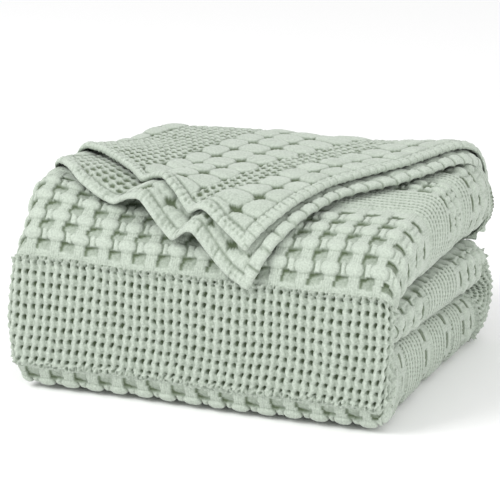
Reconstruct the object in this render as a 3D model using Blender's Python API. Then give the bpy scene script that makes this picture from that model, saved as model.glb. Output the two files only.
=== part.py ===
"""Waffle weave cotton blanket, folded into a thick stack, one corner thrown forward.

One woven cloth with its own turned hem, so it is one solid.  The cloth is first
folded into a strip of six nested layers, as wide as the stack.  The strip is then
folded in three like a letter: the middle run lies inside, the bottom run lies on
the floor, the front turn stands up as the smooth front, and the top run lies on
top.  The free end comes back over the top as a doubled corner with two hems.

Axes: X runs from left to right along the front, Y from the front to the back,
Z up.  Metres throughout.  The origin is under the middle of the stack, on the floor.
"""
import math
from typing import NamedTuple

import bmesh
import bpy
from mathutils import Vector

# Cloth
LAYERS = 6                  # layers in the strip
CLOTH = 0.0044              # thickness of the waffle cloth where it lies loose
HEM = 1.35                  # a turned hem is this much thicker than the cloth
PRESSED = 0.68              # and the tight front turn this much thinner
CLOTH_COLOR = (0.63, 0.71, 0.60, 1.0)
CLOTH_ROUGHNESS = 0.95

# Strip
STATIONS_PER_ROW = 2        # sections made between two rows of the course
OUTER_FLATS = 6             # steps across the strip's outer face
INNER_FLATS = 3             # and across the layers inside it
EDGE_START = 0.04           # side offsets begin this far from the middle
EDGE_FULL = 0.19            # and are whole at this distance
INNER_STAYS = 0.6           # share of a side offset that the inner face doesn't take
LEFT_BULGE = 0.8            # depth of the left bulge, as a share of the right one
SQUARE = 0.58               # below 1, the side bulges are fuller than ellipses
FLOOR_SNAP = 0.0006         # what lies this low is pressed flat on the floor

# Thrown corner
COVER_STEPS = 60            # steps along the outer face that the corner lies on
HEM_CELL = 0.0130           # grid spacing of the corner's sheets near its hems
INNER_CELL = 0.0210         # and away from them
LEFT_FINE = 0.065           # how far from the left hem the fine spacing goes
RIGHT_FINE = 0.156          # and how far from the right hem
EDGE_RUN = 0.20             # how far in from a hem its course is felt
ARCH_RUN = 0.085            # how far in from the left hem its arches go
ARCH_CLEAR = 1.2            # the upper sheet stands this much higher over lower arches
RIGHT_HEM_ANGLE = math.radians(67.0)    # the hems, measured from +X towards the back
LEFT_HEM_ANGLE = math.radians(149.0)
HEM_REACH = 0.002           # only what lies this near a hem is hem
CUT_LEFT = -0.172           # the sheets end here, round the left side
CUT_RIGHT = 0.170           # and here, round the right side
FADE_START = 0.070          # folds begin to fade this far before the tucked end
FADE_END = 0.035
TAIL_ROLL = 0.0125          # radius of the tucked roll that ends the corner
TAIL_ROLL_SIDES = 12        # its flat sides
SLIVER = 0.0003             # shorter edges are closed up after the union
TAIL_CUT = 0.003            # the sheets end this far before the tucked end
TAIL_ROLL_BACK = 0.004      # how far its middle lies before the tucked end
TAIL_ROLL_IN = 0.005        # and how far in from the middle of the two sheets


class Row(NamedTuple):
    """One section of the strip's course, seen from its right side."""

    name: str
    out_y: float            # outer face, at the middle of the width
    out_z: float
    in_y: float             # inner face
    in_z: float
    left_y: float           # how the outer face moves at the left edge
    left_z: float
    right_y: float          # and at the right edge
    right_z: float
    reach_left: float       # distance from the middle to the left bulge
    reach_right: float      # and to the right bulge
    bulge: float            # depth of the right bulge, the left is LEFT_BULGE of it
    press: float            # 1 where the layers are pressed together


COURSE = (
    #    name            out_y    out_z   in_y    in_z    ly     lz      ry     rz      left   right  bulge  press
    Row("inner end",    -0.122,  0.110, -0.122,  0.075,  0.0,    0.0,    0.0,   0.0,    0.178, 0.189, 0.020, 0.7),
    Row("middle",        0.000,  0.112,  0.000,  0.067,  0.0,    0.0,    0.0,   0.000,  0.186, 0.194, 0.024, 0.0),
    Row("middle back",   0.092,  0.109,  0.092,  0.064,  0.0,    0.0,    0.0,   0.000,  0.188, 0.197, 0.026, 0.0),
    Row("back over",     0.143,  0.097,  0.1165, 0.0640, 0.0,    0.0,   -0.004, 0.0,    0.186, 0.194, 0.028, 0.0),
    Row("back",          0.163,  0.054,  0.1230, 0.0600, 0.0,    0.0,   -0.006, 0.0,    0.184, 0.197, 0.029, 0.0),
    Row("back under",    0.146,  0.008,  0.1165, 0.0560, 0.0,    0.0,   -0.004, 0.0,    0.180, 0.194, 0.027, 0.0),
    Row("bottom back",   0.105,  0.000,  0.092,  0.057,  0.0,    0.0,    0.0,   0.0,    0.180, 0.189, 0.025, 0.0),
    Row("bottom",        0.000,  0.000,  0.000,  0.0630, 0.0,    0.0,    0.0,   0.0,    0.180, 0.186, 0.024, 0.0),
    Row("bottom front", -0.095,  0.000, -0.095,  0.070,  0.0,    0.0,    0.0,   0.0,    0.178, 0.188, 0.023, 0.0),
    Row("front under",  -0.144,  0.0007, -0.124, 0.070, -0.006,  0.0,    0.008, 0.0,    0.177, 0.192, 0.020, 0.4),
    Row("front low",    -0.163,  0.015, -0.134,  0.073, -0.010,  0.000,  0.005, 0.0,    0.181, 0.194, 0.017, 0.9),
    Row("front",        -0.164,  0.050, -0.137,  0.079, -0.009,  0.0,    0.001, 0.0,    0.187, 0.194, 0.014, 1.0),
    Row("front mid",    -0.163,  0.088, -0.1375, 0.089, -0.003,  0.000,  0.0,   0.0,    0.189, 0.194, 0.014, 1.0),
    Row("front high",   -0.157,  0.126, -0.1350, 0.100,  0.000,  0.002,  0.0,   0.002,  0.186, 0.195, 0.015, 1.0),
    Row("shoulder",     -0.140,  0.156, -0.127,  0.112, -0.002,  0.010,  0.0,   0.003,  0.184, 0.196, 0.018, 0.7),
    Row("top front",    -0.102,  0.175, -0.108,  0.1175, 0.000,  0.018,  0.0,   0.002,  0.186, 0.198, 0.024, 0.2),
    Row("top",          -0.035,  0.182, -0.040,  0.117,  0.000,  0.008,  0.0,   0.001,  0.187, 0.196, 0.026, 0.0),
    Row("top middle",    0.040,  0.183,  0.040,  0.116,  0.0,   -0.005,  0.0,   0.005,  0.187, 0.196, 0.031, 0.0),
    Row("top back",      0.098,  0.181,  0.105,  0.113,  0.0,   -0.003,  0.0,   0.008,  0.186, 0.195, 0.033, 0.0),
    Row("top end",       0.128,  0.178,  0.158,  0.110,  0.0,   -0.002, -0.002, 0.009,  0.184, 0.191, 0.033, 0.0),
)
TOP_END = len(COURSE) - 1
COVER_START = 11            # row where the outer face under the corner begins

TAIL = (
    # the corner goes on over the back edge, down behind the top run
    Row("over",          0.143,  0.173,  0.145,  0.107,  0.0,   -0.002, -0.003, 0.007,  0.182, 0.188, 0.033, 0.0),
    Row("over edge",     0.160,  0.158,  0.140,  0.106,  0.0,   -0.002, -0.004, 0.002,  0.180, 0.184, 0.033, 0.0),
    Row("behind",        0.166,  0.136,  0.140,  0.104,  0.0,   -0.002, -0.004, 0.0,    0.180, 0.181, 0.033, 0.0),
    Row("tucked",        0.160,  0.117,  0.140,  0.102,  0.0,    0.0,   -0.004, 0.0,    0.176, 0.178, 0.033, 0.0),
)


class Edge(NamedTuple):
    """A place on the edge of one of the corner's sheets."""

    far: float              # distance from the tip along the hem
    aside: float            # how far in from the straight line the edge lies there
    lift: float = 0.0       # how high it stands over its usual height


LEFT_EDGES = {
    "lower": (
        Edge(-0.020, 0.000), Edge(0.020, -0.004), Edge(0.038, -0.002, 0.003),
        Edge(0.052, 0.000, 0.013), Edge(0.064, 0.000, 0.020), Edge(0.074, -0.006, 0.012),
        Edge(0.084, -0.016), Edge(0.098, -0.015, 0.004), Edge(0.112, -0.015, 0.014),
        Edge(0.128, -0.016, 0.023), Edge(0.146, -0.023, 0.014), Edge(0.160, -0.030),
        Edge(0.180, -0.036, 0.000), Edge(0.204, -0.042, 0.006), Edge(0.243, -0.036, 0.001),
        Edge(0.300, -0.026, 0.000)),
    "upper": (
        Edge(-0.020, 0.001), Edge(0.022, -0.001, 0.001), Edge(0.045, -0.004, 0.003),
        Edge(0.064, -0.012), Edge(0.095, -0.008, 0.004), Edge(0.125, -0.012, 0.010),
        Edge(0.143, -0.018, 0.001), Edge(0.165, -0.014, 0.001), Edge(0.195, -0.014, 0.001),
        Edge(0.219, -0.012, 0.005), Edge(0.240, -0.016, 0.005), Edge(0.280, -0.016, 0.002)),
}
RIGHT_EDGES = {
    "lower": (
        Edge(-0.020, -0.003), Edge(0.060, -0.005), Edge(0.100, -0.001), Edge(0.132, 0.005),
        Edge(0.160, 0.001), Edge(0.200, -0.009), Edge(0.245, -0.011), Edge(0.290, -0.004),
        Edge(0.330, 0.002), Edge(0.400, 0.002)),
    "upper": (
        Edge(-0.020, -0.002), Edge(0.040, -0.008), Edge(0.075, -0.004), Edge(0.116, 0.003),
        Edge(0.160, -0.002), Edge(0.210, -0.010), Edge(0.245, -0.008), Edge(0.280, -0.004),
        Edge(0.330, 0.000), Edge(0.400, 0.000)),
}


class Corner(NamedTuple):
    """One sheet of the thrown corner, in the flattened outer face of the stack."""

    name: str
    tip_x: float            # across, from the middle
    tip_back: float         # along the outer face, from the row COVER_START
    lift: float             # gap under the sheet, where it lies flat
    right_hem: float        # length of the right hem
    left_hem: float         # length of the left hem


LOWER = Corner("lower", 0.056, 0.080, 0.0040, 0.46, 0.40)
UPPER = Corner("upper", 0.050, 0.108, 0.0122, 0.43, 0.38)
P_AXIS = Vector((math.cos(RIGHT_HEM_ANGLE), math.sin(RIGHT_HEM_ANGLE)))
Q_AXIS = Vector((math.cos(LEFT_HEM_ANGLE), math.sin(LEFT_HEM_ANGLE)))


def blend(rows: tuple, place: float) -> Row:
    """Return the row at a fractional place, on a smooth curve through the rows."""
    last = len(rows) - 1
    place = min(max(place, 0.0), float(last))
    k = min(int(place), last - 1)
    f = place - k
    near = [rows[min(max(k + d, 0), last)] for d in (-1, 0, 1, 2)]
    values = []
    for a, b, c, d in zip(*[row[1:] for row in near]):
        values.append(0.5 * (2 * b + (c - a) * f + (2 * a - 5 * b + 4 * c - d) * f * f
                             + (3 * b - 3 * c + d - a) * f ** 3))
    return Row(near[1].name, *values)


def smooth(value: float) -> float:
    """Return a soft step from 0 to 1."""
    value = min(max(value, 0.0), 1.0)
    return value * value * (3.0 - 2.0 * value)


def side(x: float) -> float:
    """Return how much of an edge offset reaches this distance from the middle."""
    return smooth((x - EDGE_START) / (EDGE_FULL - EDGE_START))


def strip_point(row: Row, x: float, depth: float) -> Vector:
    """Return the point at x, at a depth from 0 (outer face) to 1 (inner face)."""
    share = 1 - INNER_STAYS * depth
    left, right = side(-x) * share, side(x) * share
    y = row.out_y + (row.in_y - row.out_y) * depth + left * row.left_y + right * row.right_y
    z = row.out_z + (row.in_z - row.out_z) * depth + left * row.left_z + right * row.right_z
    return Vector((x, y, z))


def layer_depths(row: Row, thick: float) -> list:
    """Return the depth of each layer's middle, so that the outer faces are flush."""
    gap = math.hypot(row.in_y - row.out_y, row.in_z - row.out_z)
    return [thick / 2 / gap + k * (1 - thick / gap) / (LAYERS - 1) for k in range(LAYERS)]


def run(start: float, end: float, steps: int) -> list:
    """Return evenly spaced places after start, up to and with end."""
    return [start + (end - start) * (k + 1) / steps for k in range(steps)]


def section(row: Row) -> list:
    """Return one section of the strip as (x, depth, hem) along the cloth.

    The cloth starts inside, and each turn lies around the one before it, so that
    the last turns wrap the whole strip on its right and on its left.
    """
    thick = CLOTH * (1 - (1 - PRESSED) * row.press)
    depth = layer_depths(row, thick)
    right = row.reach_right - row.bulge - thick / 2
    left = -(row.reach_left - row.bulge * LEFT_BULGE - thick / 2)
    points = [(left + 0.004, depth[2], 1.0), (left + 0.016, depth[2], 0.0)]
    layer = 2
    going_right = True
    for following, steps in ((3, 4), (1, 4), (4, 5), (0, 6), (5, 7)):
        goal = right if going_right else left
        flats = OUTER_FLATS if layer == 0 else INNER_FLATS
        points += [(x, depth[layer], 0.0) for x in run(points[-1][0], goal, flats)]
        middle = (depth[layer] + depth[following]) / 2
        half = (depth[following] - depth[layer]) / 2
        share = abs(half) / (depth[5] - depth[0]) * 2
        width = row.bulge * share * (1 if going_right else -LEFT_BULGE)
        fullness = 1 + (SQUARE - 1) * share
        for k in range(1, steps):
            turn = math.pi * k / steps
            bow = math.sin(turn) ** fullness
            points.append((goal + width * bow, middle - half * math.cos(turn), 0.0))
        points.append((goal, depth[following], 0.0))
        layer = following
        going_right = not going_right
    points += [(x, depth[5], 0.0) for x in run(right, left + 0.012, INNER_FLATS)]
    points.append((left - 0.004, depth[5], 1.0))
    return points


def sheet_object(name: str, bm: bmesh.types.BMesh) -> bpy.types.Object:
    """Return an object with the mesh, whose weights give the cloth's thickness."""
    mesh = bpy.data.meshes.new(name)
    bm.to_mesh(mesh)
    bm.free()
    obj = bpy.data.objects.new(name, mesh)
    obj.vertex_groups.new(name="thickness")
    bpy.context.scene.collection.objects.link(obj)
    return obj


def solidify(obj: bpy.types.Object) -> None:
    """Give a sheet its thickness, half to each side, by its vertex weights."""
    modifier = obj.modifiers.new("cloth", "SOLIDIFY")
    modifier.thickness = CLOTH * HEM
    modifier.offset = 0.0
    modifier.use_rim = True
    modifier.vertex_group = "thickness"
    apply_modifiers(obj)


def apply_modifiers(obj: bpy.types.Object) -> None:
    """Replace the object's mesh by its evaluated one."""
    graph = bpy.context.evaluated_depsgraph_get()
    mesh = bpy.data.meshes.new_from_object(obj.evaluated_get(graph))
    obj.modifiers.clear()
    obj.data = mesh


def outward(obj: bpy.types.Object) -> None:
    """Turn all faces outwards."""
    bm = bmesh.new()
    bm.from_mesh(obj.data)
    bmesh.ops.recalc_face_normals(bm, faces=bm.faces)
    if bm.calc_volume(signed=True) < 0:
        bmesh.ops.reverse_faces(bm, faces=bm.faces)
    bm.to_mesh(obj.data)
    bm.free()


def make_strip() -> bpy.types.Object:
    """Build the six-layer strip along its whole letter fold."""
    count = STATIONS_PER_ROW * TOP_END + 1
    rows = [blend(COURSE, j / STATIONS_PER_ROW) for j in range(count)]
    sections = [section(row) for row in rows]
    columns = len(sections[0])
    bm = bmesh.new()
    bmesh.ops.create_grid(bm, x_segments=columns - 1, y_segments=count - 1, size=0.5)
    weights = bm.verts.layers.deform.verify()
    for vert in bm.verts:
        i = round((vert.co.x + 0.5) * (columns - 1))
        j = round((vert.co.y + 0.5) * (count - 1))
        x, depth, hem = sections[j][i]
        if j in (0, count - 1):
            hem = 1.0
        loft = 1 - (1 - PRESSED) * rows[j].press
        vert.co = strip_point(rows[j], x, depth)
        vert[weights][0] = (loft + (HEM - loft) * hem) / HEM
    obj = sheet_object("blanket", bm)
    solidify(obj)
    outward(obj)
    return obj


class Cover:
    """The stack's outer face from the front up and over, which the corner lies on."""

    def __init__(self) -> None:
        rows = COURSE[COVER_START:] + TAIL
        last = len(rows) - 1
        self.rows = [blend(rows, last * k / COVER_STEPS) for k in range(COVER_STEPS + 1)]
        self.length = [0.0]
        for a, b in zip(self.rows, self.rows[1:]):
            step = math.hypot(b.out_y - a.out_y, b.out_z - a.out_z)
            self.length.append(self.length[-1] + step)

    def row(self, along: float) -> Row:
        """Return the row at a distance along the outer face."""
        k = 0
        while k < COVER_STEPS - 1 and self.length[k + 1] < along:
            k += 1
        f = (along - self.length[k]) / (self.length[k + 1] - self.length[k])
        f = min(max(f, 0.0), 1.0)
        a, b = self.rows[k], self.rows[k + 1]
        return Row(a.name, *[p + (q - p) * f for p, q in zip(a[1:], b[1:])])

    def face(self, across: float, along: float) -> Vector:
        """Return the outer face's point, wrapped round the bulges at both sides."""
        row = self.row(along)
        tall = math.hypot(row.in_y - row.out_y, row.in_z - row.out_z)
        if across > 0:
            bulge = row.bulge
            flat = row.reach_right - bulge
        else:
            bulge = row.bulge * LEFT_BULGE
            flat = row.reach_left - bulge
        over = max(abs(across) - flat, 0.0)
        turn = min(over / (bulge + tall / 2) * 2, math.pi)
        x = min(abs(across), flat) + bulge * math.sin(turn)
        return strip_point(row, math.copysign(x, across), (1 - math.cos(turn)) / 2)

    def point(self, across: float, along: float, lift: float) -> Vector:
        """Return the point that stands a lift clear of the outer face."""
        step = 0.004
        dx = self.face(across + step, along) - self.face(across - step, along)
        dy = self.face(across, along + step) - self.face(across, along - step)
        return self.face(across, along) + dx.cross(dy).normalized() * lift


def from_tip(sheet: Corner, across: float, along: float) -> tuple:
    """Return a place's distances from the sheet's tip along the right and left hem."""
    place = Vector((across - sheet.tip_x, along - sheet.tip_back))
    area = P_AXIS.x * Q_AXIS.y - P_AXIS.y * Q_AXIS.x
    return ((place.x * Q_AXIS.y - place.y * Q_AXIS.x) / area,
            (P_AXIS.x * place.y - P_AXIS.y * place.x) / area)


def hem_curve(edges: tuple, column: int, far: float) -> float:
    """Return a column of a hem's table at a distance from the tip."""
    for a, b in zip(edges, edges[1:]):
        if far <= b.far:
            return a[column] + (b[column] - a[column]) * smooth((far - a.far) / (b.far - a.far))
    return edges[-1][column]


def arch_height(sheet: Corner, p: float, q: float) -> float:
    """Return how high the left hem's arches lift the sheet."""
    return hem_curve(LEFT_EDGES[sheet.name], 2, q) * (1 - smooth(p / ARCH_RUN))


def sheet_place(sheet: Corner, p: float, q: float) -> Vector:
    """Return a place in the flattened face, p and q in from the left and right hem."""
    left = hem_curve(LEFT_EDGES[sheet.name], 1, q) * (1 - smooth(p / EDGE_RUN))
    right = hem_curve(RIGHT_EDGES[sheet.name], 1, p) * (1 - smooth(q / EDGE_RUN))
    place = P_AXIS * (p + left) + Q_AXIS * (q + right)
    return Vector((sheet.tip_x + place.x, sheet.tip_back + place.y, 0.0))


def sheet_lift(cover: Cover, sheet: Corner, place: Vector, p: float, q: float) -> float:
    """Return the height of the sheet's middle over the stack's outer face."""
    lower_p, lower_q = from_tip(LOWER, place.x, place.y)
    lower_p -= hem_curve(LEFT_EDGES["lower"], 1, lower_q)
    clear = ARCH_CLEAR if sheet is UPPER else 1.0
    height = max(arch_height(LOWER, lower_p, lower_q) * clear, arch_height(sheet, p, q))
    end = cover.length[-1]
    fade = smooth((end - FADE_END - place.y) / (FADE_START - FADE_END))
    return height * fade + sheet.lift + CLOTH / 2


def grid_places(length: float, fine: float) -> list:
    """Return the places of grid lines, closer together near the hem."""
    near = [k * HEM_CELL for k in range(round(fine / HEM_CELL))]
    count = round((length - fine) / INNER_CELL)
    return near + [fine + (length - fine) * k / count for k in range(count + 1)]


def make_corner(cover: Cover, sheet: Corner) -> bpy.types.Object:
    """Build one sheet of the thrown corner, cut off where it is tucked in."""
    p_places = grid_places(sheet.right_hem, LEFT_FINE)
    q_places = grid_places(sheet.left_hem, RIGHT_FINE)
    columns, rows = len(p_places) - 1, len(q_places) - 1
    bm = bmesh.new()
    bmesh.ops.create_grid(bm, x_segments=columns, y_segments=rows, size=0.5)
    from_left = bm.verts.layers.float.new("from left hem")
    from_right = bm.verts.layers.float.new("from right hem")
    for vert in bm.verts:
        vert[from_left] = p_places[round((vert.co.x + 0.5) * columns)]
        vert[from_right] = q_places[round((vert.co.y + 0.5) * rows)]
        vert.co = sheet_place(sheet, vert[from_left], vert[from_right])
    cuts = (((0, cover.length[-1] - TAIL_CUT, 0), (0, 1, 0)),
            ((CUT_LEFT, 0, 0), (-1, 0, 0)),
            ((CUT_RIGHT, 0, 0), (1, 0, 0)))
    for point, normal in cuts:
        everything = bm.verts[:] + bm.edges[:] + bm.faces[:]
        bmesh.ops.bisect_plane(bm, geom=everything, dist=0.0015, plane_co=point,
                               plane_no=normal, clear_outer=True)
    bmesh.ops.dissolve_degenerate(bm, edges=bm.edges, dist=0.001)
    weights = bm.verts.layers.deform.verify()
    for vert in bm.verts:
        p, q = vert[from_left], vert[from_right]
        lift = sheet_lift(cover, sheet, vert.co, p, q)
        hem = 1.0 if min(p, q) < HEM_REACH else 0.0
        vert.co = cover.point(vert.co.x, vert.co.y, lift)
        vert[weights][0] = (1 + (HEM - 1) * hem) / HEM
    obj = sheet_object(sheet.name, bm)
    solidify(obj)
    outward(obj)
    return obj


def make_tail_roll(cover: Cover) -> bpy.types.Object:
    """Build the small roll that joins both sheets to the end of the top run."""
    end = cover.rows[-1]
    lift = (LOWER.lift + UPPER.lift + CLOTH) / 2
    centre = cover.point(0.0, cover.length[-1] - TAIL_ROLL_BACK, lift - TAIL_ROLL_IN)
    half = end.reach_left - end.bulge
    bm = bmesh.new()
    bmesh.ops.create_cone(bm, cap_ends=True, cap_tris=False, segments=TAIL_ROLL_SIDES,
                          radius1=TAIL_ROLL, radius2=TAIL_ROLL, depth=2 * half)
    for vert in bm.verts:
        vert.co = Vector((vert.co.z, vert.co.x, vert.co.y)) + centre
    mesh = bpy.data.meshes.new("tail roll")
    bm.to_mesh(mesh)
    bm.free()
    obj = bpy.data.objects.new("tail roll", mesh)
    bpy.context.scene.collection.objects.link(obj)
    outward(obj)
    return obj


def close_slivers(obj: bpy.types.Object) -> None:
    """Close up the tiny edges that a union leaves."""
    bm = bmesh.new()
    bm.from_mesh(obj.data)
    bmesh.ops.dissolve_degenerate(bm, edges=bm.edges, dist=SLIVER)
    bmesh.ops.triangulate(bm, faces=bm.faces)
    bm.to_mesh(obj.data)
    bm.free()


def join(base: bpy.types.Object, others: list) -> None:
    """Unite the base with the other pieces and remove them."""
    for other in others:
        modifier = base.modifiers.new(other.name, "BOOLEAN")
        modifier.operation = "UNION"
        modifier.solver = "EXACT"
        modifier.object = other
    apply_modifiers(base)
    close_slivers(base)
    for other in others:
        bpy.data.objects.remove(other)


def set_down(obj: bpy.types.Object) -> None:
    """Press the underside flat on the floor, with the origin under the box's middle."""
    low = Vector(min(vert.co[k] for vert in obj.data.vertices) for k in range(3))
    high = Vector(max(vert.co[k] for vert in obj.data.vertices) for k in range(3))
    middle = (low + high) / 2
    for vert in obj.data.vertices:
        z = 0.0 if vert.co.z < FLOOR_SNAP else vert.co.z
        vert.co = Vector((vert.co.x - middle.x, vert.co.y - middle.y, z))


def cloth_material() -> bpy.types.Material:
    """Return the matt pale green cotton."""
    material = bpy.data.materials.new("cotton")
    material.use_nodes = True
    shader = material.node_tree.nodes["Principled BSDF"]
    shader.inputs["Base Color"].default_value = CLOTH_COLOR
    shader.inputs["Roughness"].default_value = CLOTH_ROUGHNESS
    shader.inputs["Metallic"].default_value = 0.0
    return material


def main() -> None:
    """Build the blanket."""
    for obj in list(bpy.data.objects):
        bpy.data.objects.remove(obj)
    cover = Cover()
    blanket = make_strip()
    sheets = [make_corner(cover, sheet) for sheet in (LOWER, UPPER)]
    join(blanket, sheets + [make_tail_roll(cover)])
    set_down(blanket)
    blanket.data.materials.clear()
    blanket.data.materials.append(cloth_material())
    blanket.data.shade_smooth()


main()
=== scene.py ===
"""Dresses the folded waffle weave blanket.

The stack's outer skin and both sheets of the thrown corner are thin sheets that
follow the folds of the solid.  Their weave is real relief: fine cells with cords
between pits, and bands of large cells with pillows, necks and sunk squares.  Shade
in its pits, grooves and holes and under its ledges is also painted into its colour.

Axes: X runs from left to right along the front, Y from the front to the back,
Z up.  Metres throughout.
"""
import logging
import math
from dataclasses import dataclass
from enum import Enum
from typing import NamedTuple

import bmesh
import bpy
import numpy as np
from mathutils import Matrix, Vector

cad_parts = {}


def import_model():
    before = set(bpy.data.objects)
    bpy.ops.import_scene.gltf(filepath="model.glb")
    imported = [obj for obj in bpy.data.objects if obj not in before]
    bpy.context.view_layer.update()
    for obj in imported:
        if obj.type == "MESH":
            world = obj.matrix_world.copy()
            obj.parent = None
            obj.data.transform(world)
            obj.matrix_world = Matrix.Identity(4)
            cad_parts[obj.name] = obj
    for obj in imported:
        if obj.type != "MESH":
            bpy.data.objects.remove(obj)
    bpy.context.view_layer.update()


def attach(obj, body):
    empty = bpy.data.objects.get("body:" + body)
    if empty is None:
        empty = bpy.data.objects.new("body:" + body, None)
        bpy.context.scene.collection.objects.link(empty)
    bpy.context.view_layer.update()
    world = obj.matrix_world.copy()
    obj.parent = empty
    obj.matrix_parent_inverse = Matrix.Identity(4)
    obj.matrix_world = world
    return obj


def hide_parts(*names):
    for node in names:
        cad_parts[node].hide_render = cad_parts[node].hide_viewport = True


log = logging.getLogger("blanket")

NODE = "blanket"
CENTRE = np.array([0.00543746, 0.00382873, 0.0])    # what the solid was centred by

CLOTH = 0.0044              # thickness of the cloth, from pit to pillow
PRESSED = 0.68              # share of it that is left in the tight front turn
EDGE_START = 0.04           # side offsets begin this far from the middle
EDGE_FULL = 0.19            # and are whole at this distance
INNER_STAYS = 0.6           # share of a side offset that the inner face doesn't take
LEFT_BULGE = 0.8            # depth of the left bulge, as a share of the right one
LEFT_TURN = 0.82            # the left turn wraps this share of the strip's thickness
SQUARE = 0.58               # below 1, the side bulges are fuller than ellipses


# --------------------------------------------------------------------------- folds


class Row(NamedTuple):
    """One section of the strip's course, seen from its right side."""

    name: str
    out_y: float            # outer face, at the middle of the width
    out_z: float
    in_y: float             # inner face
    in_z: float
    left_y: float           # how the outer face moves at the left edge
    left_z: float
    right_y: float          # and at the right edge
    right_z: float
    reach_left: float       # distance from the middle to the left bulge
    reach_right: float      # and to the right bulge
    bulge: float            # depth of the right bulge
    press: float            # 1 where the layers are pressed together


COURSE = (
    # name, outer face y and z, inner face y and z; and below them how the left edge
    # and the right edge move, y and z each, the reach left and right, bulge and press
    Row("inner end",     -0.129,   0.108,  -0.129,   0.076,
           0.0,    0.0,    0.0,    0.0,   0.178,  0.190,  0.019,  0.7),
    Row("middle",           0.0,   0.112,     0.0,   0.067,
           0.0,    0.0,    0.0,    0.0,   0.186,  0.194,  0.024,  0.0),
    Row("middle back",    0.092,   0.109,   0.092,   0.064,
           0.0,    0.0,    0.0,    0.0,   0.188,  0.197,  0.026,  0.0),
    Row("back over",      0.143,   0.098,  0.1165,   0.064,
           0.0,    0.0, -0.004,    0.0,   0.186,  0.191,  0.028,  0.0),
    Row("back",           0.163,   0.054,   0.123,   0.060,
           0.0,    0.0, -0.006,    0.0,   0.184,  0.196,  0.029,  0.0),
    Row("back under",     0.146,   0.008,  0.1165,   0.056,
           0.0,    0.0, -0.004,    0.0,   0.180,  0.194,  0.027,  0.0),
    Row("bottom back",    0.105,     0.0,   0.092,   0.057,
           0.0,    0.0,    0.0,    0.0,   0.180,  0.190,  0.025,  0.0),
    Row("bottom",           0.0,     0.0,     0.0,   0.063,
           0.0,    0.0,    0.0,    0.0,   0.180, 0.1875,  0.024,  0.0),
    Row("bottom front",  -0.095,     0.0,  -0.095,   0.070,
           0.0,    0.0,    0.0,    0.0,   0.178,  0.188,  0.023,  0.0),
    Row("front under",  -0.1445,  0.0007,  -0.124,   0.070,
        -0.003,    0.0,  0.007,    0.0,   0.177,  0.192,  0.020,  0.4),
    Row("front low",     -0.164,   0.014,  -0.134,   0.073,
        -0.007,    0.0,  0.004,    0.0,   0.181,  0.194,  0.017,  0.9),
    Row("front",         -0.164,   0.050,  -0.140,   0.079,
        -0.009,    0.0,  0.001,    0.0,   0.187,  0.194,  0.014,  1.0),
    Row("front mid",     -0.163,   0.088,  -0.141,   0.089,
        -0.003,    0.0,    0.0,    0.0,   0.189,  0.194,  0.014,  1.0),
    Row("front high",    -0.157,   0.126,  -0.139,   0.101,
           0.0,  0.002,    0.0,  0.002,   0.188,  0.195,  0.020,  1.0),
    Row("shoulder",      -0.140,   0.156,  -0.130,   0.112,
        -0.002,  0.011,    0.0,  0.003,   0.183,  0.196,  0.026,  0.7),
    Row("top front",     -0.102,   0.175,  -0.108,  0.1175,
           0.0,  0.020,    0.0,  0.002,   0.190,  0.198,  0.031,  0.2),
    Row("top",           -0.035,   0.182,  -0.040,   0.117,
           0.0,  0.009,    0.0,  0.001,   0.189,  0.196,  0.026,  0.0),
    Row("top middle",     0.040,   0.183,   0.040,   0.116,
           0.0, -0.005,    0.0,  0.005,   0.187,  0.196,  0.031,  0.0),
    Row("top back",       0.098,   0.181,   0.105,   0.111,
           0.0, -0.006,    0.0,  0.008,   0.186,  0.195,  0.033,  0.0),
    Row("top end",        0.128,   0.178,   0.158,   0.106,
           0.0, -0.005, -0.002,  0.009,   0.184,  0.192,  0.033,  0.0),
)
FRONT_ROW = 11              # row where lengths along the outer face are counted from

TAIL = (
    # the corner goes on over the back edge, down behind the top run
    Row("over",           0.143,   0.173,   0.145,   0.103,
           0.0, -0.005, -0.003,  0.007,   0.182,  0.191,  0.033,  0.0),
    Row("over edge",      0.160,   0.158,   0.140,   0.102,
           0.0, -0.004, -0.004,  0.002,   0.180,  0.186,  0.033,  0.0),
    Row("behind",         0.166,   0.136,   0.140,   0.100,
           0.0, -0.002, -0.004,    0.0,   0.180,  0.181,  0.033,  0.0),
    Row("tucked",         0.160,   0.115,   0.140,   0.099,
           0.0,    0.0, -0.004,    0.0,   0.176,  0.178,  0.033,  0.0),
)

FRONT_CLOSE = (
    # the inner run's front end is drawn shut behind the front turn
    Row("closed front", -0.1335,  0.0935, -0.1335,  0.0905,
           0.0,    0.0,    0.0,    0.0,   0.176,  0.188,  0.019,  1.0),
)
BACK_CLOSE = (
    # and the top run's back end under its own turn
    Row("closed back",    0.150,   0.102,   0.144,   0.099,
           0.0,    0.0, -0.004,    0.0,   0.174,  0.178,  0.033,  1.0),
)
STRIP = FRONT_CLOSE + COURSE + TAIL + BACK_CLOSE


class Edge(NamedTuple):
    """A place on the edge of one of the corner's sheets."""

    far: float              # distance from the tip along the hem
    aside: float            # how far in from the straight line the edge lies there
    lift: float = 0.0       # how high it stands over its usual height


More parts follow.
